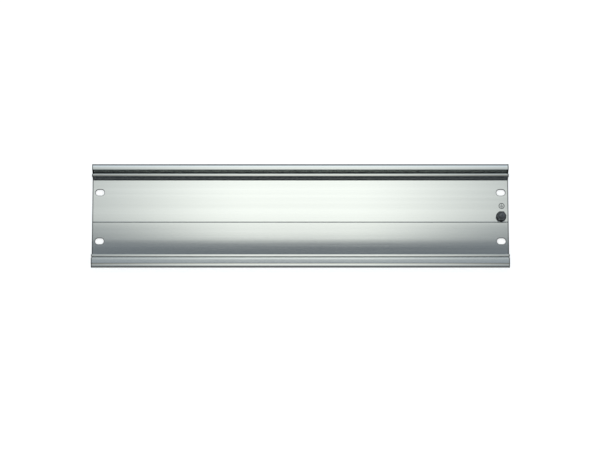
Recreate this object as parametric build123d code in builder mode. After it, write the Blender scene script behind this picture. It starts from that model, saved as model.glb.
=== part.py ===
"""Profile mounting rail for modular controllers, 19-inch length, with its earth stud.

All sizes are in millimetres. X runs along the rail, Y across it and Z from the wall side to the
front. The rail lies on its back: the back of the web is Z = 0 and the rims point up.
"""

import math
import os

from build123d import *

os.makedirs("parts", exist_ok=True)

# Rail, overall
rail_length = 482.6
rail_height = 122.0
rail_depth = 15.0
web_thickness = 3.0

# Both rims, measured inwards from the outer edge of the lip
lip_edge_radius = 5.2
lip_wall = 2.5
lip_inner_radius = 1.8
lip_edge_depth = 7.0

# Upper rim: the groove that module hooks reach into, and the rib beside it
lip_front_width = 2.0
groove_floor_level = 6.0
groove_floor_width = 0.75
flank_angle = 25.0
rib_thickness = 3.0
crown_slope = 35.0
crown_radius = 1.8

# Lower rim: the channel for the modules' screws, between the lip and a sloped land
lower_front_width = 4.0
lower_front_angle = 2.75
lead_in_width = 2.2
lead_in_angle = 3.4
screw_channel_width = 1.5
screw_floor_level = 4.0
screw_wall = 2.4
land_width = 2.25
land_angle = 15.0

# Rounded corners of the extrusion
nose_corner_radius = 0.3
land_corner_radius = 0.4
foot_corner_radius = 0.3
root_corner_radius = 0.8
groove_corner_radius = 0.35
lip_corner_radius = 0.6
back_corner_radius = 0.5
end_break = 0.2

# Guide line for drilling, a V-groove in the front of the web
guide_groove_offset = 6.3
guide_groove_width = 1.2
guide_groove_depth = 0.6

# Fixing slots near the ends, for M6 screws
slot_end_distance = 8.75
slot_pitch_y = 57.15
slot_length = 10.0
slot_width = 7.0
slot_break = 0.3

# Earth stud and the hardware on it, M6
stud_diameter = 6.0
stud_reach = 11.5
stud_tip_chamfer = 0.8
stud_head_diameter = 8.2
stud_head_thickness = 1.2
washer_diameter = 12.0
washer_thickness = 1.6
washer_edge_break = 0.3
spring_diameter = 11.8
spring_thickness = 1.6
spring_split = 0.9
spring_split_tilt = 20.0
nut_width = 10.0
nut_height = 5.2
nut_chamfer_angle = 30.0
stud_seat_clearance = 0.05
washer_clearance = 0.2
thread_clearance = 0.05

# Stations across the upper rim, from the outer edge to the web
half_height = rail_height / 2
lip_front_outer = half_height - lip_edge_radius
lip_front_inner = lip_front_outer - lip_front_width
flank_slope = math.tan(math.radians(flank_angle))
groove_outer = lip_front_inner - (rail_depth - groove_floor_level) * flank_slope
rib_outer = groove_outer - groove_floor_width
rib_inner = rib_outer - rib_thickness

# Crowned nose of the rib: its rounding cuts the apex back to the full depth
crown_rise = crown_radius * (1 / math.cos(math.radians(crown_slope)) - 1)
crown_apex_level = rail_depth + crown_rise
nose_level = crown_apex_level - rib_thickness / 2 * math.tan(math.radians(crown_slope))

# Back of the lip: the wall follows the front at one thickness
lip_back_level = rail_depth - lip_wall
lip_wall_inner = half_height - lip_wall
lip_free_level = rail_depth - lip_edge_depth
flank_shift = lip_wall / math.cos(math.radians(flank_angle))
flank_back_at_floor = groove_outer + flank_shift
upper_back_edge = flank_back_at_floor - groove_floor_level * flank_slope
lip_back_inner = upper_back_edge + lip_back_level * flank_slope

# Stations across the lower rim, from the outer edge to the web
lead_in_outer = lip_front_outer - lower_front_width
channel_outer = lead_in_outer - lead_in_width
channel_inner = channel_outer - screw_channel_width
land_inner = channel_inner - land_width
lower_back_edge = channel_outer + screw_wall

# Levels of the lower rim: the front leans to the web and its rounding ends at the full depth
lower_front_slope = math.tan(math.radians(lower_front_angle))
front_lift = lip_edge_radius * (1 / math.cos(math.radians(lower_front_angle)) - 1)
lower_bend_level = rail_depth + front_lift + lip_edge_radius * lower_front_slope
lead_in_level = rail_depth + front_lift - lower_front_width * lower_front_slope
channel_mouth_level = lead_in_level - lead_in_width * math.tan(math.radians(lead_in_angle))
land_edge_level = rail_depth - land_width * math.tan(math.radians(land_angle))

# The slots keep their distance from the sawn ends, and the earth stud stands midway between two
slot_pitch_x = rail_length - 2 * slot_end_distance
stud_x = slot_pitch_x / 2
stud_radius = stud_diameter / 2
washer_level = web_thickness
spring_level = washer_level + washer_thickness
nut_level = spring_level + spring_thickness
stud_top = web_thickness + stud_reach


def round_corner(sketch, corner, radius):
    """Round the corner of the section that lies at the given point."""
    fillet(sketch.vertices().sort_by_distance((corner[0], corner[1], 0))[0], radius)


# Corners of the upper rim, in the order in which the outline passes them
upper_back_corner = (upper_back_edge, 0)
upper_lip_root = (lip_back_inner, lip_back_level)
upper_bend_inner = (lip_wall_inner, lip_back_level)
upper_free_inner = (lip_wall_inner, lip_free_level)
upper_free_outer = (half_height, lip_free_level)
upper_bend_outer = (half_height, rail_depth)
lip_mouth = (lip_front_inner, rail_depth)
groove_outer_corner = (groove_outer, groove_floor_level)
groove_inner_corner = (rib_outer, groove_floor_level)
rib_nose_outer = (rib_outer, nose_level)
rib_crown = (rib_outer - rib_thickness / 2, crown_apex_level)
rib_nose_inner = (rib_inner, nose_level)
rib_foot = (rib_inner, web_thickness)

# Corners of the lower rim, on from the web
land_foot = (-land_inner, web_thickness)
land_top = (-land_inner, rail_depth)
land_edge = (-channel_inner, land_edge_level)
channel_floor_inner = (-channel_inner, screw_floor_level)
channel_floor_outer = (-channel_outer, screw_floor_level)
channel_mouth = (-channel_outer, channel_mouth_level)
lead_in_edge = (-lead_in_outer, lead_in_level)
lower_bend_outer = (-half_height, lower_bend_level)
lower_free_outer = (-half_height, lip_free_level)
lower_free_inner = (-lip_wall_inner, lip_free_level)
lower_bend_inner = (-lip_wall_inner, lip_back_level)
lower_lip_root = (-lower_back_edge, lip_back_level)
lower_back_corner = (-lower_back_edge, 0)

# The rail: one extruded section, slotted and drilled
with BuildPart() as profile_rail:
    with BuildSketch(Plane.YZ) as section:
        with BuildLine():
            Polyline(
                upper_back_corner,
                upper_lip_root,
                upper_bend_inner,
                upper_free_inner,
                upper_free_outer,
                upper_bend_outer,
                lip_mouth,
                groove_outer_corner,
                groove_inner_corner,
                rib_nose_outer,
                rib_crown,
                rib_nose_inner,
                rib_foot,
                land_foot,
                land_top,
                land_edge,
                channel_floor_inner,
                channel_floor_outer,
                channel_mouth,
                lead_in_edge,
                lower_bend_outer,
                lower_free_outer,
                lower_free_inner,
                lower_bend_inner,
                lower_lip_root,
                lower_back_corner,
                close=True,
            )
        make_face()
        for corner in (upper_back_corner, lower_back_corner):
            round_corner(section, corner, back_corner_radius)
        for corner in (upper_lip_root, lower_lip_root):
            round_corner(section, corner, root_corner_radius)
        for corner in (upper_bend_inner, lower_bend_inner):
            round_corner(section, corner, lip_inner_radius)
        for corner in (upper_free_inner, upper_free_outer, lower_free_inner, lower_free_outer):
            round_corner(section, corner, lip_corner_radius)
        for corner in (upper_bend_outer, lower_bend_outer):
            round_corner(section, corner, lip_edge_radius)
        round_corner(section, lip_mouth, lip_corner_radius)
        for corner in (groove_outer_corner, groove_inner_corner, channel_floor_inner, channel_floor_outer):
            round_corner(section, corner, groove_corner_radius)
        round_corner(section, rib_crown, crown_radius)
        for corner in (rib_nose_outer, rib_nose_inner, land_edge, channel_mouth):
            round_corner(section, corner, nose_corner_radius)
        round_corner(section, land_top, land_corner_radius)
        for corner in (rib_foot, land_foot):
            round_corner(section, corner, foot_corner_radius)
        # Guide groove, cut in the section so that it runs the whole length
        with BuildLine():
            Polyline(
                (-guide_groove_offset - guide_groove_width / 2, web_thickness),
                (-guide_groove_offset, web_thickness - guide_groove_depth),
                (-guide_groove_offset + guide_groove_width / 2, web_thickness),
                close=True,
            )
        make_face(mode=Mode.SUBTRACT)
    extrude(amount=rail_length / 2, both=True)

    # Saw-cut ends with the burr taken off
    for end in (-rail_length / 2, rail_length / 2):
        end_edges = profile_rail.edges().filter_by_position(Axis.X, end - 0.01, end + 0.01)
        chamfer(end_edges, end_break)

    # Four slots, long side along the rail
    with BuildSketch(Plane.XY):
        with GridLocations(slot_pitch_x, slot_pitch_y, 2, 2):
            SlotOverall(slot_length, slot_width)
    extrude(amount=web_thickness, mode=Mode.SUBTRACT)
    with BuildSketch(Plane.XY.offset(web_thickness)):
        with GridLocations(slot_pitch_x, slot_pitch_y, 2, 2):
            SlotOverall(slot_length + 2 * slot_break, slot_width + 2 * slot_break)
    extrude(amount=-slot_break, taper=45, mode=Mode.SUBTRACT)

    # Seat of the earth stud: its shank hole, and a recess for its head in the back
    with BuildSketch(Plane.XY):
        with Locations((stud_x, 0)):
            Circle(stud_radius + stud_seat_clearance)
    extrude(amount=web_thickness, mode=Mode.SUBTRACT)
    with BuildSketch(Plane.XY):
        with Locations((stud_x, 0)):
            Circle(stud_head_diameter / 2 + stud_seat_clearance)
    extrude(amount=stud_head_thickness, mode=Mode.SUBTRACT)

profile_rail.part.label = "profile_rail"
export_step(profile_rail.part, "parts/profile_rail.step")

# Pressed-in stud, head flush with the back of the web
with BuildPart() as earth_stud:
    with BuildSketch(Plane.XY):
        with Locations((stud_x, 0)):
            Circle(stud_head_diameter / 2)
    extrude(amount=stud_head_thickness)
    with BuildSketch(Plane.XY):
        with Locations((stud_x, 0)):
            Circle(stud_radius)
    extrude(amount=stud_top)
    chamfer(earth_stud.edges().sort_by(Axis.Z)[-1], stud_tip_chamfer)

earth_stud.part.label = "earth_stud"
export_step(earth_stud.part, "parts/earth_stud.step")

# Plain washer on the web
with BuildPart() as flat_washer:
    with BuildSketch(Plane.XY.offset(washer_level)):
        with Locations((stud_x, 0)):
            Circle(washer_diameter / 2)
            Circle(stud_radius + washer_clearance, mode=Mode.SUBTRACT)
    extrude(amount=washer_thickness)
    rim_edge = flat_washer.edges().filter_by(GeomType.CIRCLE).sort_by(SortBy.RADIUS)[-2:]
    chamfer(rim_edge.sort_by(Axis.Z)[-1], washer_edge_break)

flat_washer.part.label = "flat_washer"
export_step(flat_washer.part, "parts/flat_washer.step")

# Split lock washer, pressed flat, its split cut on the slant
with BuildPart() as spring_washer:
    with BuildSketch(Plane.XY.offset(spring_level)):
        with Locations((stud_x, 0)):
            Circle(spring_diameter / 2)
            Circle(stud_radius + washer_clearance, mode=Mode.SUBTRACT)
    extrude(amount=spring_thickness)
    split_place = Location(
        (stud_x - spring_diameter / 2, 0, spring_level + spring_thickness / 2),
        (spring_split_tilt, 0, 0),
    )
    with Locations(split_place):
        Box(spring_diameter, spring_split, 2 * spring_diameter, mode=Mode.SUBTRACT)

spring_washer.part.label = "spring_washer"
export_step(spring_washer.part, "parts/spring_washer.step")

# Hex nut, corners turned off at both ends
with BuildPart() as hex_nut:
    with BuildSketch(Plane.XY.offset(nut_level)):
        with Locations((stud_x, 0)):
            RegularPolygon(nut_width / 2, 6, major_radius=False)
    extrude(amount=nut_height)
    corner_radius = nut_width / 2 / math.cos(math.radians(30))
    corner_drop = (corner_radius - nut_width / 2) * math.tan(math.radians(nut_chamfer_angle))
    with BuildSketch(Plane.XZ) as turned:
        with BuildLine():
            Polyline(
                (stud_x, nut_level),
                (stud_x + nut_width / 2, nut_level),
                (stud_x + corner_radius, nut_level + corner_drop),
                (stud_x + corner_radius, nut_level + nut_height - corner_drop),
                (stud_x + nut_width / 2, nut_level + nut_height),
                (stud_x, nut_level + nut_height),
                close=True,
            )
        make_face()
    revolve(axis=Axis((stud_x, 0, 0), (0, 0, 1)), mode=Mode.INTERSECT)
    with BuildSketch(Plane.XY.offset(nut_level)):
        with Locations((stud_x, 0)):
            Circle(stud_radius + thread_clearance)
    extrude(amount=nut_height, mode=Mode.SUBTRACT)

hex_nut.part.label = "hex_nut"
export_step(hex_nut.part, "parts/hex_nut.step")
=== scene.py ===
"""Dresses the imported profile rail: drawn aluminium section, threaded earth stud, earth sign and studio."""

import math
from typing import NamedTuple

import bmesh
import bpy
from bpy.props import FloatProperty, FloatVectorProperty, IntProperty, PointerProperty
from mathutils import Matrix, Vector


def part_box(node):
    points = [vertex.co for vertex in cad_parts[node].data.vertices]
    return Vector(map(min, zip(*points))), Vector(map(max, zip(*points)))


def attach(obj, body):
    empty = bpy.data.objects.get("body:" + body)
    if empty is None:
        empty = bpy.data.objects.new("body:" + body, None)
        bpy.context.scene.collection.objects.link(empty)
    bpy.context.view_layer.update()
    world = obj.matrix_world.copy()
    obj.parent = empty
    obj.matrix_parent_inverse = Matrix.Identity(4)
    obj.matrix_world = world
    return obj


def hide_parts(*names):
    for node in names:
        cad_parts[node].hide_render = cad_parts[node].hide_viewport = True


bl_info = {
    "name": "Profile rail dresser",
    "version": (1, 0, 0),
    "blender": (4, 5, 0),
    "location": "View3D > Sidebar > Profile rail",
    "description": "Builds the visible rail, its earth hardware and a plain studio around the packed model",
    "category": "Object",
}

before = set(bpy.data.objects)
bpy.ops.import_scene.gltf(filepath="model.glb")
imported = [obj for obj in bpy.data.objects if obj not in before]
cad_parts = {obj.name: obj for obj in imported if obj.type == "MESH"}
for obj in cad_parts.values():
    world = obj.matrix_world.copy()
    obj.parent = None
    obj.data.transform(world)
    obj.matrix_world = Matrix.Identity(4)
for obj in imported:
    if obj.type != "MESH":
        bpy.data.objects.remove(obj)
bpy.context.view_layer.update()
RAIL_LOW, RAIL_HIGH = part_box("profile_rail")
STUD_LOW, STUD_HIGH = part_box("earth_stud")
MM = 0.001

# Edges that turn by more than this stay sharp
RAIL_SHARP = math.radians(40.0)
THREAD_SHARP = math.radians(50.0)

# Faces and edges this close to a sawn end belong to it
END_MARGIN = 0.1 * MM

# Cutters of the slots: their level, height and arcs, and their end radius as a share of the slot's
# width, just under half so that no two points of the outline coincide
SLOT_CUTTER_LEVEL = -1.0 * MM
SLOT_CUTTER_HEIGHT = 6.0 * MM
SLOT_ARC_POINTS = 14
SLOT_END_SHARE = 0.4999
WELD_GAP = 0.002 * MM

# Cutters of the stud's seat
SEAT_CUTTER_LENGTH = 20.0 * MM
SEAT_CUTTER_SIDES = 48

# Form of the thread: steps round it and along it, and shares of its pitch
THREAD_STEPS = 32
ROWS_PER_TURN = 8
HALF_CREST = 0.06
FLANK = 0.36

# Form of the earth sign: steps of its curves, and shares of the ring's inner radius
RING_STEPS = 64
STROKE_END_STEPS = 8
STEM_TOP = 0.9
BAR_REACHES = (0.76, 0.5, 0.2)
BAR_SPACING = 0.36

# The world's light: levels to the sides and towards the camera, cosines from the camera's direction
# where the dark patch starts and is full, and the dimmer zone low in front of the rail
WORLD_TINT = (0.88, 1.0, 1.1, 1.0)
SIDE_LEVEL = 0.5
PATCH_LEVEL = 0.04
PATCH_RIM = 0.86
PATCH_CORE = 0.99
FRONT_SHARE = 0.55
FRONT_LOW = -0.85
FRONT_HIGH = -0.6

# A light panel dims between these shares of its length from its middle
PANEL_MIDDLE = 0.08
PANEL_END = 0.5

# Nearly all values of a noise texture lie in this range
NOISE_LOW = 0.3
NOISE_HIGH = 0.7

# The studio floor: half its width, and its drop under the rail's back
FLOOR_REACH = 6.0
FLOOR_DROP = 0.2 * MM


class Grain(NamedTuple):
    """Worked surface of a metal."""

    stretch: tuple  # noise cells per metre along X, Y and Z
    roughness: tuple  # smoothest and roughest
    shade: tuple  # darkest and lightest, as shares of the metal's colour
    relief: float  # depth of the lines in metres


DRAWN = Grain((6.0, 1400.0, 1400.0), (0.075, 0.1), (0.97, 1.03), 0.0004 * MM)
SAWN = Grain((1400.0, 60.0, 900.0), (0.3, 0.45), (0.85, 1.1), 0.008 * MM)
PUNCHED = Grain((900.0, 900.0, 60.0), (0.35, 0.5), (0.8, 1.1), 0.008 * MM)
PLATED_STUD = Grain((500.0, 500.0, 500.0), (0.28, 0.42), (0.8, 1.15), 0.002 * MM)
PLATED_NUT = Grain((400.0, 400.0, 900.0), (0.26, 0.4), (0.8, 1.15), 0.003 * MM)
PLATED_WASHER = Grain((700.0, 700.0, 700.0), (0.3, 0.45), (0.8, 1.2), 0.003 * MM)
SPRING_STEEL = Grain((300.0, 300.0, 1500.0), (0.3, 0.5), (0.8, 1.2), 0.004 * MM)
ETCHED = Grain((900.0, 900.0, 900.0), (0.5, 0.65), (0.8, 1.2), 0.004 * MM)


def length_prop(name, description, millimetres, lowest=0.0):
    """A length in metres, given in millimetres."""
    return FloatProperty(
        name=name,
        description=description,
        default=millimetres * MM,
        min=lowest * MM,
        precision=5,
        unit="LENGTH",
        subtype="DISTANCE",
    )


def angle_prop(name, description, degrees):
    """An angle in radians, given in degrees."""
    return FloatProperty(
        name=name, description=description, default=math.radians(degrees), unit="ROTATION", subtype="ANGLE"
    )


def share_prop(name, description, share):
    """A share between none and all."""
    return FloatProperty(
        name=name, description=description, default=share, min=0.0, max=1.0, subtype="FACTOR"
    )


def colour_prop(name, description, colour):
    """A linear colour."""
    return FloatVectorProperty(
        name=name, description=description, default=colour, size=3, min=0.0, max=1.0, subtype="COLOR"
    )


class RailSizes(bpy.types.PropertyGroup):
    """Sizes of the extruded section and its cut-outs."""

    length: length_prop("Length", "Sawn length of the rail", (RAIL_HIGH.x - RAIL_LOW.x) / MM)
    height: length_prop("Height", "From lip edge to lip edge", (RAIL_HIGH.y - RAIL_LOW.y) / MM)
    depth: length_prop("Depth", "Back of the web to the front of the lips", (RAIL_HIGH.z - RAIL_LOW.z) / MM)
    web: length_prop("Web", "Thickness of the web", 3.0)
    back_corner: length_prop("Back corner", "Rounding of the back's two long edges", 0.5)
    lip_radius: length_prop("Lip radius", "Rounding of the outer edge of a lip", 5.2)
    lip_front: length_prop("Lip front", "Flat front band of the upper lip", 2.2)
    lip_wall: length_prop("Lip wall", "Wall thickness of a lip", 2.5)
    lip_bend: length_prop("Lip bend", "Inside rounding of a lip", 1.8)
    lip_return: length_prop("Lip return", "How far the lip turns back", 7.0)
    lip_root: length_prop("Lip root", "Rounding behind a lip, where it leaves its wall", 0.8)
    lip_corner: length_prop("Lip corner", "Rounding of a lip's free edge and of the groove's mouth", 0.6)
    groove_floor: length_prop("Groove floor", "Floor of the hook groove over the back", 6.0)
    groove_width: length_prop("Groove width", "Width of the hook groove's floor", 0.85)
    groove_corner: length_prop("Groove corner", "Rounding in the floors of groove and screw channel", 0.35)
    flank_angle: angle_prop("Flank angle", "Slope of the hook groove's outer flank", 25.0)
    rib: length_prop("Rib", "Thickness of the upper rib", 3.5)
    rib_foot: length_prop("Rib foot", "Rounding where the rib meets the web", 0.05)
    nose_fall: angle_prop("Nose fall", "Slope of the rib's front towards the web", 5.0)
    nose_shoulder: length_prop("Nose shoulder", "Rounding of that front's outer edge", 0.9)
    brink: length_prop("Brink", "Width of the steeper brink at that front's inner side", 0.95)
    brink_fall: angle_prop("Brink fall", "Slope of that brink", 12.0)
    brink_radius: length_prop("Brink radius", "Rounding from the rib's front to that brink", 0.8)
    brink_edge: length_prop("Brink edge", "Rounding of that brink's inner edge", 0.1)
    brow: length_prop("Brow", "Sloping brow between the lower lip's front and its rounded edge", 4.6)
    brow_angle: angle_prop("Brow angle", "Slope of that brow", 16.5)
    brow_radius: length_prop("Brow radius", "Rounding from that brow to the lip's outer side", 4.2)
    lower_front: length_prop("Lower front", "Front face of the lower lip", 4.0)
    front_slope: angle_prop("Front slope", "Slope of the lower lip's front towards the web", 1.9)
    front_radius: length_prop("Front radius", "Rounding from the brow to that front", 2.0)
    lead_in: length_prop("Lead-in", "Width of the slope that leads a screw into its channel", 2.2)
    lead_angle: angle_prop("Lead angle", "Slope of that lead-in", 2.1)
    lead_radius: length_prop("Lead radius", "Rounding from the lower lip's front to that lead-in", 20.0)
    screw_channel: length_prop("Screw channel", "Width of the screw channel", 1.3)
    screw_floor: length_prop("Screw floor", "Floor of the screw channel over the back", 4.0)
    screw_wall: length_prop("Screw wall", "Outer wall of the screw channel", 2.4)
    screw_mouth: length_prop("Screw mouth", "Rounding of the screw channel's two edges", 0.3)
    land: length_prop("Land", "Thickness of the lower rib, beside the screw channel", 2.45)
    land_angle: angle_prop("Land angle", "Slope of the land towards the screw channel", 19.0)
    land_corner: length_prop("Land corner", "Rounding of the land's high edge", 0.4)
    land_foot: length_prop("Land foot", "Rounding where the lower rib meets the web", 0.1)
    guide_offset: length_prop("Guide offset", "Guide groove from the middle of the web", 6.3)
    guide_width: length_prop("Guide width", "Width of the guide groove", 1.2)
    guide_depth: length_prop("Guide depth", "Depth of the guide groove", 0.6)
    guide_corner: length_prop("Guide corner", "Rounding of the guide groove's edges and floor", 0.12)
    slot_end: length_prop("Slot to end", "Slot centre from the sawn end", 8.75)
    slot_pitch: length_prop("Slot pitch", "Slot to slot across the rail", 57.15)
    slot_length: length_prop("Slot length", "Overall length of a slot", 10.0)
    slot_width: length_prop("Slot width", "Width of a slot", 7.0)
    slot_break: length_prop("Slot break", "Rolled edge round the slots", 0.65)
    edge_break: length_prop("Edge break", "Deburred edge at the sawn ends and the stud's seat", 0.1)
    arc_points: IntProperty(
        name="Arc points", description="Points on each rounded corner", default=12, min=2, max=24
    )


class EarthSizes(bpy.types.PropertyGroup):
    """Sizes of the earth stud and of the sign beside it."""

    stud_x: length_prop("Stud place", "Stud from the rail's middle", (STUD_LOW.x + STUD_HIGH.x) / 2 / MM)
    stud_top: length_prop("Stud top", "Tip of the stud over the back", STUD_HIGH.z / MM)
    stud_radius: length_prop("Stud radius", "Crest radius of the thread", 3.0)
    thread_pitch: length_prop("Thread pitch", "Rise of the thread in one turn", 1.0)
    thread_depth: length_prop("Thread depth", "Crest to root of the thread", 0.6)
    tip_chamfer: length_prop("Tip chamfer", "Chamfer at the stud's tip", 0.8)
    head_radius: length_prop("Head radius", "Radius of the pressed-in head", 4.1)
    head_height: length_prop("Head height", "Height of the pressed-in head", 1.2)
    seat_gap: length_prop("Seat gap", "Gap round the stud and its head in the rail", 0.05)
    sign_width: length_prop("Sign width", "Outer diameter of the sign's ring", 6.8)
    sign_line: length_prop("Sign line", "Line width of the sign's ring", 0.75)
    sign_bar: length_prop("Sign bar", "Line width of the sign's strokes", 0.5)
    sign_rise: length_prop("Sign rise", "Sign centre above the stud", 12.8)
    sign_shift: length_prop("Sign shift", "Sign centre from the stud towards the end", 0.8)
    sign_stem: length_prop("Sign stem", "Foot of the sign's stem over its longest bar", 0.2)
    sign_sink: length_prop("Sign sink", "Depth of the sign in the web", 0.02)
    sign_proud: length_prop("Sign proud", "Height of the sign over the web", 0.03)


class RailFinish(bpy.types.PropertyGroup):
    """Colours of the metals and of the floor, and the shade painted along the rail's lip edges and sawn
    ends.
    """

    aluminium: colour_prop("Aluminium", "Drawn aluminium", (0.86, 0.875, 0.865))
    sawn: colour_prop("Sawn end", "Sawn ends of the rail", (0.48, 0.49, 0.49))
    # Painted shade: the dark colour of the slots' and the seat's walls stands in for the shade inside them;
    # their rougher grain is real
    punched_painted_shade: colour_prop("Painted shade in punched walls", "Walls of the slots and of the stud's seat", (0.2, 0.205, 0.205))
    zinc: colour_prop("Dark zinc", "Plated steel of stud, nut and washer", (0.135, 0.139, 0.146))
    spring: colour_prop("Spring steel", "Lock washer", (0.05, 0.05, 0.053))
    sign: colour_prop("Sign", "Etched lines of the earth sign", (0.12, 0.125, 0.128))
    floor: colour_prop("Floor", "Studio floor", (0.8, 0.8, 0.8))
    # Painted shade: the lips' outer edges are darkened in the colour, standing in for the dark shade and
    # reflection they would show
    lip_painted_shade: length_prop("Lip painted shade", "Width of the painted shade along the lips' outer edges", 2.4)
    lip_shade_fade: length_prop("Lip fade", "Width over which that painted shade darkens", 0.7)
    lip_shade_share: share_prop("Lip share", "Share of the colour left in that painted shade", 0.22)
    # Painted shade: a band beside the sawn ends is darkened in the colour, standing in for the dark
    # reflection along the end edges
    end_painted_shade: length_prop("End painted shade", "Width of the painted shade at the sawn ends", 1.3)
    end_shade_fade: length_prop("End fade", "Width over which that painted shade darkens", 0.3)
    end_shade_share: share_prop("End share", "Share of the colour left in that painted shade", 0.3)


class StudioSizes(bpy.types.PropertyGroup):
    """Camera and light."""

    tilt: angle_prop("Tilt", "Camera away from straight above", 10.0)
    distance: length_prop("Distance", "Camera from the front of the web", 3000.0)
    lens: FloatProperty(name="Lens", description="Focal length of the camera", default=155.4, unit="CAMERA")
    sensor: FloatProperty(name="Sensor", description="Width of the sensor", default=36.0, unit="CAMERA")
    aim_x: length_prop("Aim X", "Point that the camera looks at, along the rail", -0.44, lowest=-1000.0)
    aim_y: length_prop("Aim Y", "Point that the camera looks at, across the rail", -9.66, lowest=-1000.0)
    panel_tint: colour_prop("Panel tint", "Colour of both light panels", (0.97, 0.985, 0.905))
    panel_height: length_prop("Panel height", "Height of the light panel", 400.0)
    panel_width: length_prop("Panel width", "Light panel along the rail", 680.0)
    panel_depth: length_prop("Panel depth", "Light panel across the rail", 600.0)
    panel_near: length_prop("Panel near edge", "Near edge of the light panel from the middle", 39.0)
    panel_level: share_prop("Panel level", "Level of the light panel in its middle", 0.92)
    panel_ends: share_prop("Panel ends", "Share of that level left at its ends", 0.4)
    near_border: length_prop("Near border", "Width of the dimmer border at the panel's near edge", 22.5)
    near_blur: length_prop("Near blur", "Softness of that border, to each side", 2.4)
    near_share: share_prop("Near share", "Share of the light left in that border", 0.81)
    corner_share: share_prop("Corner share", "Share of that border's light left at its ends", 0.5)
    far_border: length_prop("Far border", "Where the panel dims again, from its near edge", 90.0)
    far_blur: length_prop("Far blur", "Softness of that border, to each side", 6.0)
    far_share: share_prop("Far share", "Share of the light left beyond it", 0.62)
    fill_front: length_prop("Fill front", "Fill panel in front of the rail's middle", 492.5)
    fill_height: length_prop("Fill height", "Height of the fill panel", 630.0)
    fill_width: length_prop("Fill width", "Fill panel along the rail", 800.0)
    fill_depth: length_prop("Fill depth", "Fill panel across its width", 600.0)
    fill_level: share_prop("Fill level", "Level of the fill panel in its middle", 0.77)
    fill_ends: share_prop("Fill ends", "Share of that level left at its ends", 0.13)
    floor_lift: share_prop("Floor lift", "Own light of the floor in the picture and in the metal", 0.67)


def feed(tree, node, inputs):
    """Gives each named input of a node a value, another node's socket or a list of sockets."""
    for key, given in inputs.items():
        for item in given if isinstance(given, list) else [given]:
            if isinstance(item, bpy.types.NodeSocket):
                tree.links.new(item, node.inputs[key])
            else:
                node.inputs[key].default_value = item


def add_node(tree, kind, inputs=None, **settings):
    """A new node with its settings and what its inputs get."""
    node = tree.nodes.new(kind)
    for key, value in settings.items():
        setattr(node, key, value)
    feed(tree, node, inputs or {})
    return node


def calc(tree, operation, *values):
    """Result of one arithmetic step on numbers and sockets."""
    return add_node(tree, "ShaderNodeMath", dict(enumerate(values)), operation=operation).outputs[0]


def parts_of(tree, vector):
    """The X, Y and Z of a vector's socket."""
    return add_node(tree, "ShaderNodeSeparateXYZ", {0: vector}).outputs


def spread(tree, source, low, high):
    """Maps a noise value onto a range."""
    node = add_node(
        tree,
        "ShaderNodeMapRange",
        {"Value": source, "From Min": NOISE_LOW, "From Max": NOISE_HIGH, "To Min": low, "To Max": high},
    )
    return node.outputs["Result"]


def ramp(tree, source, low, high, at_low, at_high):
    """A smooth step of a value between two stations."""
    node = add_node(
        tree,
        "ShaderNodeMapRange",
        {"Value": source, "From Min": low, "From Max": high, "To Min": at_low, "To Max": at_high},
        interpolation_type="SMOOTHSTEP",
    )
    return node.outputs["Result"]


def link_object(name, data):
    """A new object in the scene."""
    obj = bpy.data.objects.new(name, data)
    bpy.context.scene.collection.objects.link(obj)
    return obj


def plain_mesh(obj, name):
    """The evaluated object as a new plain mesh object; the old one is removed."""
    bpy.context.view_layer.update()
    graph = bpy.context.evaluated_depsgraph_get()
    mesh = bpy.data.meshes.new_from_object(obj.evaluated_get(graph), depsgraph=graph)
    mesh.name = name
    made = link_object(name, mesh)
    data = obj.data
    bpy.data.objects.remove(obj)
    if isinstance(data, bpy.types.Curve):
        bpy.data.curves.remove(data)
    else:
        bpy.data.meshes.remove(data)
    return made


def mesh_object(name, bm):
    """A mesh object from a bmesh, with normals pointing outwards."""
    bmesh.ops.recalc_face_normals(bm, faces=bm.faces)
    mesh = bpy.data.meshes.new(name)
    bm.to_mesh(mesh)
    bm.free()
    return link_object(name, mesh)


def smooth_by_angle(obj, limit):
    """Smooth shading, with sharp edges where two faces turn by the limit or more."""
    mesh = obj.data
    for polygon in mesh.polygons:
        polygon.use_smooth = True
    bm = bmesh.new()
    bm.from_mesh(mesh)
    for edge in bm.edges:
        edge.smooth = len(edge.link_faces) == 2 and edge.calc_face_angle(0.0) < limit
    bm.to_mesh(mesh)
    bm.free()


def keep_flats_flat(obj, limit):
    """Corner normals that follow the largest faces meeting smoothly there, to keep broad flats flat."""
    mesh = obj.data
    smooth = math.cos(limit)
    leading_share = 0.7
    around = [[] for _ in mesh.vertices]
    for face in mesh.polygons:
        for vertex in face.vertices:
            around[vertex].append((face.area, face.normal.copy()))
    normals = []
    for face in mesh.polygons:
        for vertex in face.vertices:
            meeting = [pair for pair in around[vertex] if pair[1].dot(face.normal) > smooth]
            largest = max(area for area, normal in meeting)
            lead = Vector()
            for area, normal in meeting:
                if area > leading_share * largest:
                    lead += normal * area
            normals.append(lead.normalized())
    mesh.normals_split_custom_set(normals)


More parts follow.
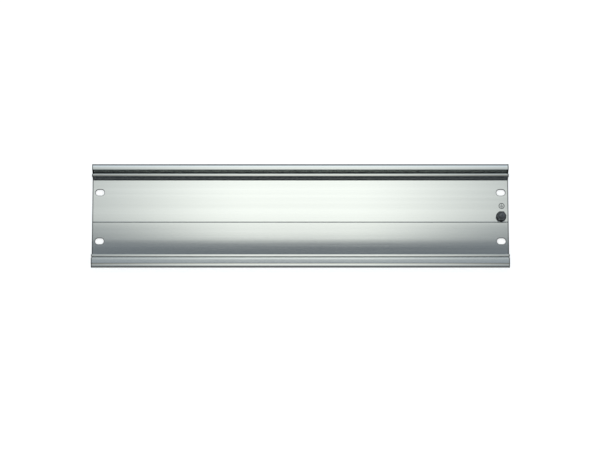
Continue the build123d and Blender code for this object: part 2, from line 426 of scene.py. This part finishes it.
def lines_group():
    """Shared shader effect: lines left by working the metal, fine and broad, from object coordinates."""
    name = "Drawn lines"
    if name in bpy.data.node_groups:
        return bpy.data.node_groups[name]
    tree = bpy.data.node_groups.new(name, "ShaderNodeTree")
    tree.interface.new_socket(name="Stretch", in_out="INPUT", socket_type="NodeSocketVector")
    for mask in ("Fine", "Broad"):
        tree.interface.new_socket(name=mask, in_out="OUTPUT", socket_type="NodeSocketFloat")
    start = tree.nodes.new("NodeGroupInput")
    end = tree.nodes.new("NodeGroupOutput")
    place = tree.nodes.new("ShaderNodeTexCoord")
    stretched = add_node(
        tree,
        "ShaderNodeVectorMath",
        {0: place.outputs["Object"], 1: start.outputs["Stretch"]},
        operation="MULTIPLY",
    ).outputs[0]
    fine = add_node(
        tree,
        "ShaderNodeTexNoise",
        {"Vector": stretched, "Scale": 1.0, "Detail": 3.0, "Roughness": 0.65},
    )
    broad = add_node(tree, "ShaderNodeTexNoise", {"Vector": stretched, "Scale": 0.14, "Detail": 2.0})
    feed(tree, end, {"Fine": fine.outputs["Fac"], "Broad": broad.outputs["Fac"]})
    return tree


def edge_shade(tree, axis, reach, fade, share):
    """Painted shade: share of the colour left beyond a distance from the middle along one axis."""
    place = tree.nodes.new("ShaderNodeTexCoord")
    away = calc(tree, "ABSOLUTE", parts_of(tree, place.outputs["Object"])[axis])
    return ramp(tree, away, reach, reach + fade, 1.0, share)


def shaded(tree, colour, share):
    """A colour multiplied by a share."""
    node = add_node(
        tree,
        "ShaderNodeMix",
        {"Factor": 1.0, "A": colour, "B": share},
        data_type="RGBA",
        blend_type="MULTIPLY",
    )
    return node.outputs["Result"]


def metal(name, colour, grain, painted_shades=()):
    """A metal with its grain. Each band of painted shade is an axis, a distance from the middle, a fade and
    a share.
    """
    material = bpy.data.materials.new(name)
    material.use_nodes = True
    material.diffuse_color = (*colour, 1.0)
    tree = material.node_tree
    lines = add_node(tree, "ShaderNodeGroup", {"Stretch": grain.stretch}, node_tree=lines_group()).outputs
    grain_tone_and_painted_shade = shaded(tree, (*colour, 1.0), spread(tree, lines["Broad"], *grain.shade))
    # Painted shade: each band darkens the colour beyond its distance from the middle
    for painted_band in painted_shades:
        grain_tone_and_painted_shade = shaded(tree, grain_tone_and_painted_shade, edge_shade(tree, *painted_band))
    relief = add_node(
        tree, "ShaderNodeBump", {"Strength": 1.0, "Distance": grain.relief, "Height": lines["Fine"]}
    )
    feed(
        tree,
        tree.nodes["Principled BSDF"],
        {
            "Metallic": 1.0,
            "Base Color": grain_tone_and_painted_shade,
            "Roughness": spread(tree, lines["Fine"], *grain.roughness),
            "Normal": relief.outputs["Normal"],
        },
    )
    return material


def rib_nose(size, outer, inner):
    """Corners of the rib's nose: its outer shoulder, the top of its brink and its inner edge."""
    brink = inner + size.brink
    brink_level = size.depth - (outer - brink) * math.tan(size.nose_fall)
    inner_level = brink_level - size.brink * math.tan(size.brink_fall)
    return (
        (outer, size.depth, size.nose_shoulder),
        (brink, brink_level, size.brink_radius),
        (inner, inner_level, size.brink_edge),
    )


def lip_back(size, back_edge, root):
    """Corners of a lip's back and free edge, from the back of the web outwards."""
    half = size.height / 2
    inside = half - size.lip_wall
    under = size.depth - size.lip_wall
    free = size.depth - size.lip_return
    return (
        (back_edge, 0.0, size.back_corner),
        (root, under, size.lip_root),
        (inside, under, size.lip_bend),
        (inside, free, size.lip_corner),
        (half, free, size.lip_corner),
    )


def upper_rim(size):
    """Corners of the hook rim: lip, hook groove and rib."""
    half = size.height / 2
    slope = math.tan(size.flank_angle)
    mouth = half - size.lip_radius - size.lip_front
    groove_outer = mouth - (size.depth - size.groove_floor) * slope
    back_edge = groove_outer + size.lip_wall / math.cos(size.flank_angle) - size.groove_floor * slope
    root = back_edge + (size.depth - size.lip_wall) * slope
    outer = groove_outer - size.groove_width
    inner = outer - size.rib
    return (
        *lip_back(size, back_edge, root),
        (half, size.depth, size.lip_radius),
        (mouth, size.depth, size.lip_corner),
        (groove_outer, size.groove_floor, size.groove_corner),
        (outer, size.groove_floor, size.groove_corner),
        *rib_nose(size, outer, inner),
        (inner, size.web, size.rib_foot),
    )


def lower_rim(size):
    """Corners of the screw rim: lip, screw channel and its inner land."""
    half = size.height / 2
    brow_edge = half - size.brow
    lead_edge = half - size.lip_radius - size.lower_front
    channel_outer = lead_edge - size.lead_in
    channel_inner = channel_outer - size.screw_channel
    inner = channel_inner - size.land
    back_edge = channel_outer + size.screw_wall
    brow_low = size.depth - size.brow * math.tan(size.brow_angle)
    lead_top = size.depth - (brow_edge - lead_edge) * math.tan(size.front_slope)
    lead_low = lead_top - size.lead_in * math.tan(size.lead_angle)
    land_low = size.depth - size.land * math.tan(size.land_angle)
    return (
        *lip_back(size, back_edge, back_edge),
        (half, brow_low, size.brow_radius),
        (brow_edge, size.depth, size.front_radius),
        (lead_edge, lead_top, size.lead_radius),
        (channel_outer, lead_low, size.screw_mouth),
        (channel_outer, size.screw_floor, size.groove_corner),
        (channel_inner, size.screw_floor, size.groove_corner),
        (channel_inner, land_low, size.screw_mouth),
        (inner, size.depth, size.land_corner),
        (inner, size.web, size.land_foot),
    )


def section_corners(size):
    """Corners of the section, each with its rounding, once round from the back."""
    edge = size.guide_width / 2
    guide = (
        (-size.guide_offset + edge, size.web, size.guide_corner),
        (-size.guide_offset, size.web - size.guide_depth, size.guide_corner),
        (-size.guide_offset - edge, size.web, size.guide_corner),
    )
    lower = tuple((-y, z, radius) for y, z, radius in reversed(lower_rim(size)))
    return upper_rim(size) + guide + lower


def section_outline(size):
    """The section as a closed curve whose points carry their rounding."""
    corners = section_corners(size)
    curve = bpy.data.curves.new("Rail section", "CURVE")
    curve.dimensions = "3D"
    spline = curve.splines.new("POLY")
    spline.points.add(len(corners) - 1)
    for point, (y, z, radius) in zip(spline.points, corners):
        # On its way along X the sweep lays the curve's X towards -Y and its Y towards -Z
        point.co = (-y, -z, 0.0, 1.0)
        point.radius = radius
    spline.use_cyclic_u = True
    return link_object("Rail section", curve)


def swept_section(tree, give):
    """The rounded section, swept along the rail from end to end."""
    radius = tree.nodes.new("GeometryNodeInputRadius").outputs["Radius"]
    rounded = add_node(
        tree,
        "GeometryNodeFilletCurve",
        {"Curve": give["Section"], "Count": give["Arc Points"], "Radius": radius},
        mode="POLY",
    )
    ends = {}
    for name, share in (("Start", -0.5), ("End", 0.5)):
        along = calc(tree, "MULTIPLY", give["Length"], share)
        ends[name] = add_node(tree, "ShaderNodeCombineXYZ", {"X": along}).outputs["Vector"]
    path = add_node(tree, "GeometryNodeCurvePrimitiveLine", ends)
    upright = add_node(tree, "GeometryNodeSetCurveNormal", {"Curve": path.outputs["Curve"]}, mode="Z_UP")
    sweep = add_node(
        tree,
        "GeometryNodeCurveToMesh",
        {"Curve": upright.outputs["Curve"], "Profile Curve": rounded.outputs["Curve"], "Fill Caps": True},
    )
    return sweep.outputs["Mesh"]


def slot_cutters(tree, give):
    """Round-ended cutters through the web, one at each corner of the slots' grid."""
    rectangle = add_node(
        tree,
        "GeometryNodeCurvePrimitiveQuadrilateral",
        {"Width": give["Slot Length"], "Height": give["Slot Width"]},
    )
    rounded = add_node(
        tree,
        "GeometryNodeFilletCurve",
        {
            "Curve": rectangle.outputs["Curve"],
            "Count": SLOT_ARC_POINTS,
            "Radius": calc(tree, "MULTIPLY", give["Slot Width"], SLOT_END_SHARE),
        },
        mode="POLY",
    )
    face = add_node(tree, "GeometryNodeFillCurve", {"Curve": rounded.outputs["Curve"]}, mode="NGONS")
    low = add_node(
        tree,
        "GeometryNodeTransform",
        {"Geometry": face.outputs["Mesh"], "Translation": (0.0, 0.0, SLOT_CUTTER_LEVEL)},
    )
    pulled = add_node(
        tree,
        "GeometryNodeExtrudeMesh",
        {
            "Mesh": low.outputs["Geometry"],
            "Offset": (0.0, 0.0, 1.0),
            "Offset Scale": SLOT_CUTTER_HEIGHT,
            "Individual": False,
        },
    )
    base = add_node(tree, "GeometryNodeFlipFaces", {"Mesh": low.outputs["Geometry"]})
    both = add_node(
        tree, "GeometryNodeJoinGeometry", {"Geometry": [pulled.outputs["Mesh"], base.outputs["Mesh"]]}
    )
    cutter = add_node(
        tree, "GeometryNodeMergeByDistance", {"Geometry": both.outputs["Geometry"], "Distance": WELD_GAP}
    )
    grid = add_node(
        tree,
        "GeometryNodeMeshGrid",
        {"Size X": give["Pitch Along"], "Size Y": give["Pitch Across"], "Vertices X": 2, "Vertices Y": 2},
    )
    placed = add_node(
        tree,
        "GeometryNodeInstanceOnPoints",
        {"Points": grid.outputs["Mesh"], "Instance": cutter.outputs["Geometry"]},
    )
    real = add_node(tree, "GeometryNodeRealizeInstances", {"Geometry": placed.outputs["Instances"]})
    return real.outputs["Geometry"]


def seat_cutter(tree, radius, length, place):
    """A round cutter, half its length to each side of its place."""
    bar = add_node(
        tree, "GeometryNodeMeshCylinder", {"Vertices": SEAT_CUTTER_SIDES, "Radius": radius, "Depth": length}
    )
    put = add_node(tree, "GeometryNodeTransform", {"Geometry": bar.outputs["Mesh"], "Translation": place})
    return put.outputs["Geometry"]


def coated(tree, shape, coat, faces=True):
    """A shape with a metal on all of its faces or on the chosen ones."""
    node = add_node(
        tree, "GeometryNodeSetMaterial", {"Geometry": shape, "Selection": faces, "Material": coat}
    )
    return node.outputs["Geometry"]


def sawn_faces(tree, give):
    """The faces at the two sawn ends."""
    place = tree.nodes.new("GeometryNodeInputPosition").outputs["Position"]
    away = calc(tree, "ABSOLUTE", parts_of(tree, place)["X"])
    end = calc(tree, "MULTIPLY", give["Length"], 0.5)
    return calc(tree, "GREATER_THAN", away, calc(tree, "SUBTRACT", end, END_MARGIN))


def sweep_tree():
    """Sweeps the rounded section along the rail, and cuts the slots and the stud's seat."""
    tree = bpy.data.node_groups.new("Rail sweep", "GeometryNodeTree")
    tree.is_modifier = True
    tree.interface.new_socket(name="Geometry", in_out="OUTPUT", socket_type="NodeSocketGeometry")
    for name, kind in (
        ("Section", "NodeSocketGeometry"),
        ("Length", "NodeSocketFloat"),
        ("Arc Points", "NodeSocketInt"),
        ("Slot Length", "NodeSocketFloat"),
        ("Slot Width", "NodeSocketFloat"),
        ("Pitch Along", "NodeSocketFloat"),
        ("Pitch Across", "NodeSocketFloat"),
        ("Seat", "NodeSocketVector"),
        ("Seat Radius", "NodeSocketFloat"),
        ("Head Radius", "NodeSocketFloat"),
        ("Head Height", "NodeSocketFloat"),
        ("Drawn Metal", "NodeSocketMaterial"),
        ("Sawn Metal", "NodeSocketMaterial"),
        ("Punched Painted Shade Metal", "NodeSocketMaterial"),
    ):
        tree.interface.new_socket(name=name, in_out="INPUT", socket_type=kind)
    give = tree.nodes.new("NodeGroupInput").outputs
    end = tree.nodes.new("NodeGroupOutput")

    drawn = coated(tree, swept_section(tree, give), give["Drawn Metal"])
    slots = slot_cutters(tree, give)
    hole = seat_cutter(tree, give["Seat Radius"], SEAT_CUTTER_LENGTH, give["Seat"])
    recess = seat_cutter(
        tree, give["Head Radius"], calc(tree, "MULTIPLY", give["Head Height"], 2.0), give["Seat"]
    )
    cutters = add_node(tree, "GeometryNodeJoinGeometry", {"Geometry": [slots, hole, recess]})
    # The cutters lay their metal, whose dark colour is painted shade, onto the walls they cut
    punched_painted_shade = coated(tree, cutters.outputs["Geometry"], give["Punched Painted Shade Metal"])
    cut = add_node(
        tree,
        "GeometryNodeMeshBoolean",
        {"Mesh 1": drawn, "Mesh 2": punched_painted_shade},
        operation="DIFFERENCE",
        solver="EXACT",
    )
    realized = add_node(tree, "GeometryNodeRealizeInstances", {"Geometry": cut.outputs["Mesh"]})
    finished = coated(tree, realized.outputs["Geometry"], give["Sawn Metal"], sawn_faces(tree, give))
    feed(tree, end, {"Geometry": finished})
    return tree


def set_inputs(modifier, values):
    """Fills a modifier's inputs by socket name, through their identifiers."""
    for item in modifier.node_group.interface.items_tree:
        if item.item_type == "SOCKET" and item.in_out == "INPUT" and item.name in values:
            modifier[item.identifier] = values[item.name]


def rail_metals(size, finish):
    """The rail's drawn aluminium with shade painted along its lip edges and sawn ends, its sawn ends, and
    the walls of its slots and seat, darkened with painted shade.
    """
    # Shade painted along the lips' outer edges and beside the sawn ends, standing in for the dark reflection
    # there
    painted_shades = (
        ("Y", size.height / 2 - finish.lip_painted_shade, finish.lip_shade_fade, finish.lip_shade_share),
        ("X", size.length / 2 - finish.end_painted_shade, finish.end_shade_fade, finish.end_shade_share),
    )
    return (
        metal("drawn_aluminium_and_painted_shade", finish.aluminium, DRAWN, painted_shades),
        metal("sawn_aluminium", finish.sawn, SAWN),
        metal("punched_aluminium_painted_shade", finish.punched_painted_shade, PUNCHED),
    )


def weigh_breaks(obj, size):
    """Bevel weights on sharp edges: full round the slots, a share at the sawn ends and the stud's seat."""
    bm = bmesh.new()
    bm.from_mesh(obj.data)
    weight = bm.edges.layers.float.new("bevel_weight_edge")
    end = size.length / 2 - END_MARGIN
    beside_seat = size.slot_pitch / 4
    for edge in bm.edges:
        if edge.is_manifold and edge.calc_face_angle() > RAIL_SHARP:
            at_slot = all(abs(v.co.x) < end and abs(v.co.y) > beside_seat for v in edge.verts)
            edge[weight] = 1.0 if at_slot else size.edge_break / size.slot_break
    bm.to_mesh(obj.data)
    bm.free()


def with_broken_edges(obj, size, coat, name):
    """The rail with its cut edges broken, as a new plain mesh object."""
    weigh_breaks(obj, size)
    breaks = obj.modifiers.new("Broken edges", "BEVEL")
    breaks.width = size.slot_break
    breaks.segments = 2
    breaks.limit_method = "WEIGHT"
    breaks.use_clamp_overlap = False
    # The rolled edges take that dark metal, so they carry its painted shade too
    breaks.material = obj.data.materials.find(coat.name)
    return plain_mesh(obj, name)


class RAIL_OT_section(bpy.types.Operator):
    """Builds the extruded rail from its section"""

    bl_idname = "profile_rail.section"
    bl_label = "Extruded rail"

    def execute(self, context):
        size = context.scene.rail_sizes
        earth = context.scene.earth_sizes
        outline = section_outline(size)
        drawn, sawn, punched_painted_shade = rail_metals(size, context.scene.rail_finish)
        sweep = outline.modifiers.new("Sweep", "NODES")
        sweep.node_group = sweep_tree()
        set_inputs(
            sweep,
            {
                "Length": size.length,
                "Arc Points": size.arc_points,
                "Slot Length": size.slot_length,
                "Slot Width": size.slot_width,
                "Pitch Along": size.length - 2 * size.slot_end,
                "Pitch Across": size.slot_pitch,
                "Seat": (earth.stud_x, 0.0, 0.0),
                "Seat Radius": earth.stud_radius + earth.seat_gap,
                "Head Radius": earth.head_radius + earth.seat_gap,
                "Head Height": earth.head_height,
                "Drawn Metal": drawn,
                "Sawn Metal": sawn,
                "Punched Painted Shade Metal": punched_painted_shade,
            },
        )
        swept = plain_mesh(outline, "rail_section")
        rail = with_broken_edges(swept, size, punched_painted_shade, "rail")
        smooth_by_angle(rail, RAIL_SHARP)
        keep_flats_flat(rail, RAIL_SHARP)
        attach(rail, "root")
        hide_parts("profile_rail")
        return {"FINISHED"}


def thread_radius(size, level, turn):
    """Radius of the thread at a level and at a share of one turn about the stud."""
    phase = (level / size.thread_pitch - turn) % 1.0
    fall = max(0.0, min(1.0, (abs(phase - 0.5) - HALF_CREST) / FLANK))
    chamfered = size.stud_radius - max(0.0, level - size.stud_top + size.tip_chamfer)
    return min(size.stud_radius - size.thread_depth * fall, chamfered)


def stud_rings(size, web):
    """Levels of the stud from its head to its tip, each with its radii once round."""
    plain = (
        (size.head_radius, 0.0),
        (size.head_radius, size.head_height),
        (size.stud_radius, size.head_height),
        (size.stud_radius, web),
    )
    rings = [(level, [radius] * THREAD_STEPS) for radius, level in plain]
    rows = round((size.stud_top - web) / size.thread_pitch * ROWS_PER_TURN)
    for row in range(1, rows + 1):
        level = web + (size.stud_top - web) * row / rows
        radii = [thread_radius(size, level, step / THREAD_STEPS) for step in range(THREAD_STEPS)]
        rings.append((level, radii))
    return rings


def add_wall(bm, low, high):
    """Faces between two closed loops of as many vertices."""
    for step in range(len(low)):
        after = (step + 1) % len(low)
        bm.faces.new((low[step], low[after], high[after], high[step]))


class RAIL_OT_stud(bpy.types.Operator):
    """Builds the threaded earth stud"""

    bl_idname = "profile_rail.stud"
    bl_label = "Earth stud"

    def execute(self, context):
        size = context.scene.earth_sizes
        bm = bmesh.new()
        loops = []
        for level, radii in stud_rings(size, context.scene.rail_sizes.web):
            loop = []
            for step, radius in enumerate(radii):
                turn = math.tau * step / THREAD_STEPS
                place = (size.stud_x + radius * math.cos(turn), radius * math.sin(turn), level)
                loop.append(bm.verts.new(place))
            loops.append(loop)
        for low, high in zip(loops, loops[1:]):
            add_wall(bm, low, high)
        bm.faces.new(loops[0])
        bm.faces.new(loops[-1])
        stud = mesh_object("threaded_stud", bm)
        smooth_by_angle(stud, THREAD_SHARP)
        stud.data.materials.append(metal("stud_zinc", context.scene.rail_finish.zinc, PLATED_STUD))
        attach(stud, "root")
        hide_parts("earth_stud")
        return {"FINISHED"}


class RAIL_OT_hardware(bpy.types.Operator):
    """Finishes the washers and the nut of the earth stud"""

    bl_idname = "profile_rail.hardware"
    bl_label = "Washers and nut"

    def execute(self, context):
        finish = context.scene.rail_finish
        coats = {
            "hex_nut": metal("nut_zinc", finish.zinc, PLATED_NUT),
            "flat_washer": metal("washer_zinc", finish.zinc, PLATED_WASHER),
            "spring_washer": metal("lock_washer", finish.spring, SPRING_STEEL),
        }
        for node, coat in coats.items():
            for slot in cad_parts[node].material_slots:
                slot.material = coat
        return {"FINISHED"}


def arc(centre, radius, start, turn, steps):
    """Points along an arc, both of its ends included."""
    points = []
    for step in range(steps + 1):
        angle = start + turn * step / steps
        points.append(centre + Vector((math.cos(angle), math.sin(angle))) * radius)
    return points


def add_plate(bm, loops, low, high):
    """A thin plate between two levels: one outline, or an outer and an inner ring."""
    unders = [[bm.verts.new((*point, low)) for point in loop] for loop in loops]
    overs = [[bm.verts.new((*point, high)) for point in loop] for loop in loops]
    for under, over in zip(unders, overs):
        add_wall(bm, under, over)
    for side in (unders, overs):
        if len(side) == 1:
            bm.faces.new(side[0])
        else:
            add_wall(bm, *side)


def add_stroke(bm, start, end, width, low, high):
    """One round-ended stroke of the sign, as a thin closed plate."""
    heading = math.atan2(end.y - start.y, end.x - start.x)
    outline = arc(end, width / 2, heading - math.pi / 2, math.pi, STROKE_END_STEPS)
    outline += arc(start, width / 2, heading + math.pi / 2, math.pi, STROKE_END_STEPS)
    add_plate(bm, [outline], low, high)


class RAIL_OT_sign(bpy.types.Operator):
    """Puts the earth sign beside the stud"""

    bl_idname = "profile_rail.sign"
    bl_label = "Earth sign"

    def execute(self, context):
        size = context.scene.earth_sizes
        web = context.scene.rail_sizes.web
        levels = (web - size.sign_sink, web + size.sign_proud)
        centre = Vector((size.stud_x + size.sign_shift, size.sign_rise))
        outer = size.sign_width / 2
        inner = outer - size.sign_line
        bm = bmesh.new()
        ring = [arc(centre, radius, 0.0, math.tau, RING_STEPS)[:-1] for radius in (outer, inner)]
        add_plate(bm, ring, *levels)
        top = centre + Vector((0.0, inner * STEM_TOP))
        foot = centre + Vector((0.0, size.sign_stem))
        add_stroke(bm, top, foot, size.sign_bar, *levels)
        for row, reach in enumerate(BAR_REACHES):
            middle = centre - Vector((0.0, inner * BAR_SPACING * row))
            side = Vector((inner * reach, 0.0))
            add_stroke(bm, middle - side, middle + side, size.sign_bar, *levels)
        sign = mesh_object("earth_sign", bm)
        sign.data.materials.append(metal("etched_sign", context.scene.rail_finish.sign, ETCHED))
        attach(sign, "root")
        return {"FINISHED"}


def floor_material(colour, lift):
    """Pale floor that keeps the shadow and shows white behind the rail and in its metal."""
    material = bpy.data.materials.new("studio_floor")
    material.use_nodes = True
    tree = material.node_tree
    rays = tree.nodes.new("ShaderNodeLightPath").outputs
    seen = calc(tree, "MAXIMUM", rays["Is Camera Ray"], rays["Is Glossy Ray"])
    shown = calc(tree, "MAXIMUM", seen, rays["Is Transmission Ray"])
    feed(
        tree,
        tree.nodes["Principled BSDF"],
        {
            "Base Color": (*colour, 1.0),
            "Roughness": 0.9,
            "Specular IOR Level": 0.0,
            "Emission Color": (1.0, 1.0, 1.0, 1.0),
            "Emission Strength": calc(tree, "MULTIPLY", shown, lift),
        },
    )
    return material


def studio_world(to_camera):
    """Pale round the sides, dark towards the camera and dimmer low in front of the rail."""
    world = bpy.data.worlds.new("Studio")
    world.use_nodes = True
    tree = world.node_tree
    heading = tree.nodes.new("ShaderNodeTexCoord").outputs["Generated"]
    near = add_node(tree, "ShaderNodeVectorMath", {0: heading, 1: to_camera}, operation="DOT_PRODUCT")
    patch = ramp(tree, near.outputs["Value"], PATCH_RIM, PATCH_CORE, SIDE_LEVEL, PATCH_LEVEL)
    front = ramp(tree, parts_of(tree, heading)["Y"], FRONT_LOW, FRONT_HIGH, FRONT_SHARE, 1.0)
    level = calc(tree, "MULTIPLY", patch, front)
    feed(tree, tree.nodes["Background"], {"Color": WORLD_TINT, "Strength": level})
    return world


def add_panel(name, place, heading, width, depth, level, grain_tone_and_painted_shade):
    """A soft light panel that the camera doesn't see; returns its light."""
    light = bpy.data.lights.new(name, "AREA")
    light.shape = "RECTANGLE"
    light.size = width
    light.size_y = depth
    light.energy = math.pi * width * depth * level
    light.color = grain_tone_and_painted_shade
    light.use_nodes = True
    lamp = link_object(name, light)
    lamp.location = place
    lamp.rotation_mode = "QUATERNION"
    lamp.rotation_quaternion = Vector(heading).to_track_quat("-Z", "Y")
    lamp.visible_camera = False
    return light


def panel_stations(tree):
    """Where a point of a light panel lies, in shares of its size, from its middle and its near edge."""
    spot = tree.nodes.new("ShaderNodeNewGeometry")
    share = parts_of(tree, spot.outputs["Parametric"])
    return calc(tree, "ABSOLUTE", calc(tree, "SUBTRACT", share["X"], 0.5)), share["Y"]


def border(tree, across, station, blur, before, after):
    """A soft step of the light across a panel."""
    return ramp(tree, across, station - blur, station + blur, before, after)


def light_from_above(size):
    """The light panel beyond the upper rim, dimmer at its ends, its near edge and its far part."""
    depth = size.panel_depth
    middle = (0.0, size.panel_near + depth / 2, size.panel_height)
    down = (0.0, 0.0, -1.0)
    light = add_panel(
        "Light panel", middle, down, size.panel_width, depth, size.panel_level, size.panel_tint
    )
    tree = light.node_tree
    along, across = panel_stations(tree)
    corner = size.near_share * size.corner_share
    near_level = ramp(tree, along, PANEL_MIDDLE, PANEL_END, size.near_share, corner)
    near = border(tree, across, size.near_border / depth, size.near_blur / depth, near_level, 1.0)
    far = border(tree, across, size.far_border / depth, size.far_blur / depth, 1.0, size.far_share)
    ends = ramp(tree, along, PANEL_MIDDLE, PANEL_END, 1.0, size.panel_ends)
    glow = calc(tree, "MULTIPLY", calc(tree, "MULTIPLY", ends, near), far)
    feed(tree, tree.nodes["Emission"], {"Strength": glow})


def light_from_front(size):
    """The fill panel in front of the rail, dimmer at its ends."""
    middle = Vector((0.0, -size.fill_front, size.fill_height))
    light = add_panel(
        "Fill panel", middle, -middle, size.fill_width, size.fill_depth, size.fill_level, size.panel_tint
    )
    tree = light.node_tree
    along, _ = panel_stations(tree)
    ends = ramp(tree, along, PANEL_MIDDLE, PANEL_END, 1.0, size.fill_ends)
    feed(tree, tree.nodes["Emission"], {"Strength": ends})


def add_floor(colour, lift):
    """The studio floor, just under the rail's back."""
    bm = bmesh.new()
    bmesh.ops.create_grid(bm, x_segments=8, y_segments=8, size=FLOOR_REACH)
    bmesh.ops.translate(bm, verts=bm.verts, vec=(0.0, 0.0, -FLOOR_DROP))
    floor = mesh_object("studio_floor", bm)
    floor.data.materials.append(floor_material(colour, lift))
    return floor


def add_camera(size, to_camera, level):
    """The camera, looking at a point on the given level."""
    data = bpy.data.cameras.new("Camera")
    data.lens = size.lens
    data.sensor_width = size.sensor
    data.clip_start = 0.05
    data.clip_end = 50.0
    camera = link_object("Camera", data)
    camera.location = Vector((size.aim_x, size.aim_y, level)) + to_camera * size.distance
    camera.rotation_mode = "QUATERNION"
    camera.rotation_quaternion = (-to_camera).to_track_quat("-Z", "Y")
    return camera


class RAIL_OT_stage(bpy.types.Operator):
    """Sets the floor, the light panels, the world and the camera"""

    bl_idname = "profile_rail.stage"
    bl_label = "Studio"

    def execute(self, context):
        scene = context.scene
        size = scene.studio_sizes
        floor = add_floor(scene.rail_finish.floor, size.floor_lift)
        light_from_above(size)
        light_from_front(size)
        to_camera = Vector((0.0, -math.sin(size.tilt), math.cos(size.tilt)))
        scene.world = studio_world(to_camera)
        scene.camera = add_camera(size, to_camera, scene.rail_sizes.web)
        scene.view_settings.view_transform = "Standard"
        return {"FINISHED"}


class RAIL_PT_sidebar(bpy.types.Panel):
    """Sizes, finishes and steps of the rail"""

    bl_idname = "RAIL_PT_sidebar"
    bl_label = "Profile rail"
    bl_space_type = "VIEW_3D"
    bl_region_type = "UI"
    bl_category = "Profile rail"

    def draw(self, context):
        layout = self.layout
        for step in STEPS:
            layout.operator(step.bl_idname)
        for name, group in GROUPS.items():
            box = layout.box()
            values = getattr(context.scene, name)
            for value in group.__annotations__:
                box.prop(values, value)


STEPS = (RAIL_OT_section, RAIL_OT_stud, RAIL_OT_hardware, RAIL_OT_sign, RAIL_OT_stage)
GROUPS = {
    "rail_sizes": RailSizes,
    "earth_sizes": EarthSizes,
    "rail_finish": RailFinish,
    "studio_sizes": StudioSizes,
}
CLASSES = (*GROUPS.values(), *STEPS, RAIL_PT_sidebar)


def register():
    """Registers the groups, the operators and the panel."""
    for kind in CLASSES:
        bpy.utils.register_class(kind)
    for name, group in GROUPS.items():
        setattr(bpy.types.Scene, name, PointerProperty(type=group))


def unregister():
    """Takes them away again."""
    for name in GROUPS:
        delattr(bpy.types.Scene, name)
    for kind in reversed(CLASSES):
        bpy.utils.unregister_class(kind)


def main():
    """Builds the dressed rail and its studio."""
    register()
    bpy.ops.profile_rail.section()
    bpy.ops.profile_rail.stud()
    bpy.ops.profile_rail.hardware()
    bpy.ops.profile_rail.sign()
    bpy.ops.profile_rail.stage()


if __name__ == "__main__":
    main()
